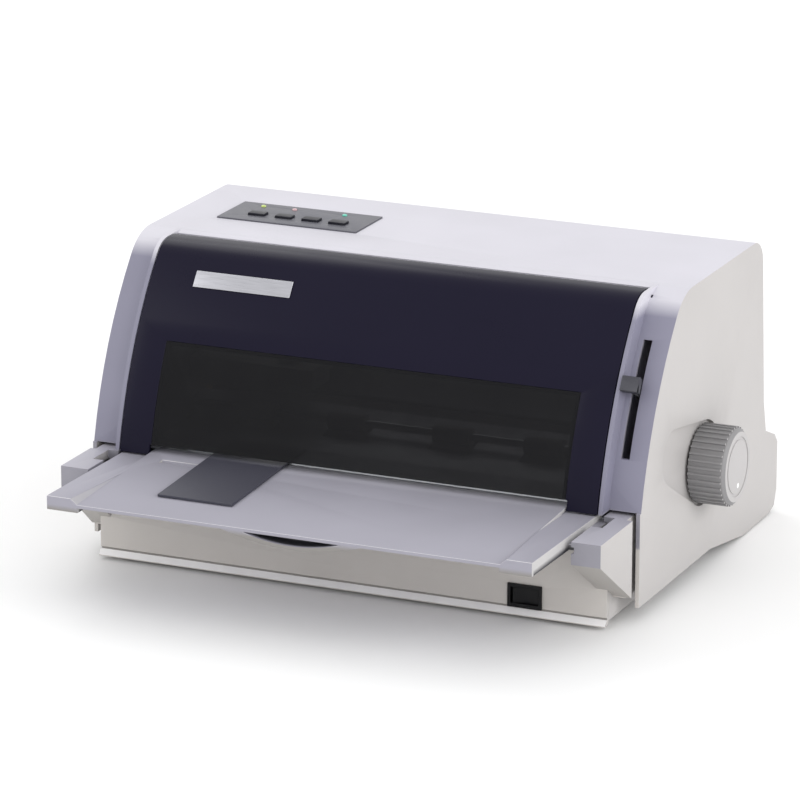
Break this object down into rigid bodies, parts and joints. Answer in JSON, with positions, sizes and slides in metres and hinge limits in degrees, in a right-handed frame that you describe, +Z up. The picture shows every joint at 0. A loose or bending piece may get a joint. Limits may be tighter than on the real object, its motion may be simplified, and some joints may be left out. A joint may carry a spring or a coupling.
{
  "type": "dot matrix printer",
  "caption": "Desk-top flatbed dot matrix printer with a hinged dark front cover, pull-off paper table, sliding paper guide, side hand knob, gap lever slot and a button panel on top.",
  "frame": {"origin": "on the table top, under the middle of the overall box", "axes": "+X to the printer's right as seen from the front, +Y to the rear, +Z up; the paper table points to -Y"},
  "size_m": [0.382, 0.3474, 0.1882],
  "materials": {
    "case_white": "fine texture",
    "cover_dark": "gloss",
    "window": "smoked clear",
    "badge_metal": "satin",
    "table_grey": "fine texture",
    "guide_dark": "fine texture",
    "panel_grey": "matt",
    "lens": "translucent",
    "circuit_board": "solder mask",
    "button_dark": "gloss",
    "black_plastic": "fine texture",
    "zinc_steel": "zinc plated",
    "ground_steel": "ground",
    "motor_dark": "black",
    "rubber_black": "matt",
    "head_alloy": "cast",
    "knob_grey": "fine texture",
    "bronze": "sintered",
    "gear_white": "natural",
    "lever_grey": "fine texture"
  },
  "bodies": {
    "chassis": {"upper_case": "case_white", "lower_case": "case_white", "control_panel": "panel_grey", "indicator_lenses": "lens", "panel_board": "circuit_board", "switch_housing": "black_plastic", "left_frame": "zinc_steel", "right_frame": "zinc_steel", "front_stay": "zinc_steel", "path_plate": "zinc_steel", "rear_path_plate": "zinc_steel", "inner_shroud": "black_plastic", "guide_rod": "ground_steel", "carriage_rail": "zinc_steel", "carriage_motor": "motor_dark", "timing_belt": "rubber_black", "platen_bushes": "bronze", "feed_motor": "motor_dark", "lever_pin": "ground_steel", "main_board": "circuit_board", "power_supply": "circuit_board", "power_inlet": "black_plastic", "data_port": "black_plastic", "rubber_feet": "rubber_black", "case_screws": "ground_steel"},
    "cover": {"front_cover": "cover_dark", "cover_window": "window", "badge_plate": "badge_metal"},
    "table": {"paper_table": "table_grey"},
    "guide": {"paper_guide": "guide_dark"},
    "lever": {"gap_lever": "lever_grey"},
    "rocker": {"power_rocker": "black_plastic"},
    "button_1": {"button_1": "button_dark"},
    "button_2": {"button_2": "button_dark"},
    "button_3": {"button_3": "button_dark"},
    "button_4": {"button_4": "button_dark"},
    "carriage": {"carriage_body": "black_plastic", "print_head": "head_alloy", "ribbon_cartridge": "black_plastic"},
    "drive_pulley": {"drive_pulley": "ground_steel"},
    "idler_pulley": {"idler_pulley": "ground_steel"},
    "platen": {"platen_roller": "rubber_black", "platen_shaft": "ground_steel", "platen_knob": "knob_grey", "platen_gear": "gear_white"},
    "idler_gear": {"idler_gear": "gear_white"},
    "feed": {"feed_shaft": "ground_steel", "feed_rollers": "rubber_black", "feed_gear": "gear_white"},
    "pinch": {"pinch_shaft": "ground_steel", "pinch_rollers": "rubber_black"},
    "feed_drive": {"motor_pinion": "bronze"}
  },
  "joints": [
    {"name": "cover_hinge", "type": "hinge", "parent": "chassis", "child": "cover", "pos_m": [0, 0.00082, 0.18], "axis": [-1, 0, 0], "range_deg": [0, 85]},
    {"name": "table_slide", "type": "slide", "parent": "chassis", "child": "table", "axis": [0, -1, 0], "range_m": [0, 0.045]},
    {"name": "guide_slide", "type": "slide", "parent": "table", "child": "guide", "axis": [1, 0, 0], "range_m": [-0.03, 0]},
    {"name": "lever_pivot", "type": "hinge", "parent": "chassis", "child": "lever", "pos_m": [0.155, 0.01431, 0.10012], "axis": [1, 0, 0], "range_deg": [-22, 31]},
    {"name": "rocker_pivot", "type": "hinge", "parent": "chassis", "child": "rocker", "pos_m": [0.1036, -0.07875, 0.0141], "axis": [0, 0, 1], "range_deg": [-14, 0]},
    {"name": "button_1_press", "type": "slide", "parent": "chassis", "child": "button_1", "axis": [0, 0, -1], "range_m": [0, 0.0012], "stiffness_N_per_m": 200, "springref_m": -0.0012},
    {"name": "button_2_press", "type": "slide", "parent": "chassis", "child": "button_2", "axis": [0, 0, -1], "range_m": [0, 0.0012], "stiffness_N_per_m": 200, "springref_m": -0.0012},
    {"name": "button_3_press", "type": "slide", "parent": "chassis", "child": "button_3", "axis": [0, 0, -1], "range_m": [0, 0.0012], "stiffness_N_per_m": 200, "springref_m": -0.0012},
    {"name": "button_4_press", "type": "slide", "parent": "chassis", "child": "button_4", "axis": [0, 0, -1], "range_m": [0, 0.0012], "stiffness_N_per_m": 200, "springref_m": -0.0012},
    {"name": "carriage_slide", "type": "slide", "parent": "chassis", "child": "carriage", "axis": [1, 0, 0], "range_m": [0, 0.208]},
    {"name": "drive_pulley_spin", "type": "hinge", "parent": "chassis", "child": "drive_pulley", "pos_m": [0.115, 0.08475, 0.112], "axis": [0, 1, 0], "range_deg": [-10, 1500]},
    {"name": "idler_pulley_spin", "type": "hinge", "parent": "chassis", "child": "idler_pulley", "pos_m": [-0.137, 0.08475, 0.112], "axis": [0, 1, 0], "range_deg": [-10, 1500]},
    {"name": "platen_spin", "type": "hinge", "parent": "chassis", "child": "platen", "pos_m": [0, 0.03975, 0.0695], "axis": [1, 0, 0], "continuous": true},
    {"name": "idler_gear_spin", "type": "hinge", "parent": "chassis", "child": "idler_gear", "pos_m": [-0.168, 0.01363, 0.05474], "axis": [1, 0, 0], "continuous": true},
    {"name": "feed_spin", "type": "hinge", "parent": "chassis", "child": "feed", "pos_m": [0, -0.00625, 0.06818], "axis": [1, 0, 0], "continuous": true},
    {"name": "pinch_spin", "type": "hinge", "parent": "chassis", "child": "pinch", "pos_m": [0, -0.00625, 0.08198], "axis": [1, 0, 0], "continuous": true},
    {"name": "feed_drive_spin", "type": "hinge", "parent": "chassis", "child": "feed_drive", "pos_m": [-0.168, 0.06131, 0.05325], "axis": [1, 0, 0], "continuous": true}
  ],
  "couplings": [
    {"joint": "drive_pulley_spin", "follows": "carriage_slide", "rad_per_m": 125},
    {"joint": "idler_pulley_spin", "follows": "carriage_slide", "rad_per_m": 125},
    {"joint": "idler_gear_spin", "follows": "platen_spin", "ratio": -1.5},
    {"joint": "feed_spin", "follows": "platen_spin", "ratio": 1.5},
    {"joint": "feed_drive_spin", "follows": "platen_spin", "ratio": -2},
    {"joint": "pinch_spin", "follows": "platen_spin", "ratio": -2.1818}
  ]
}
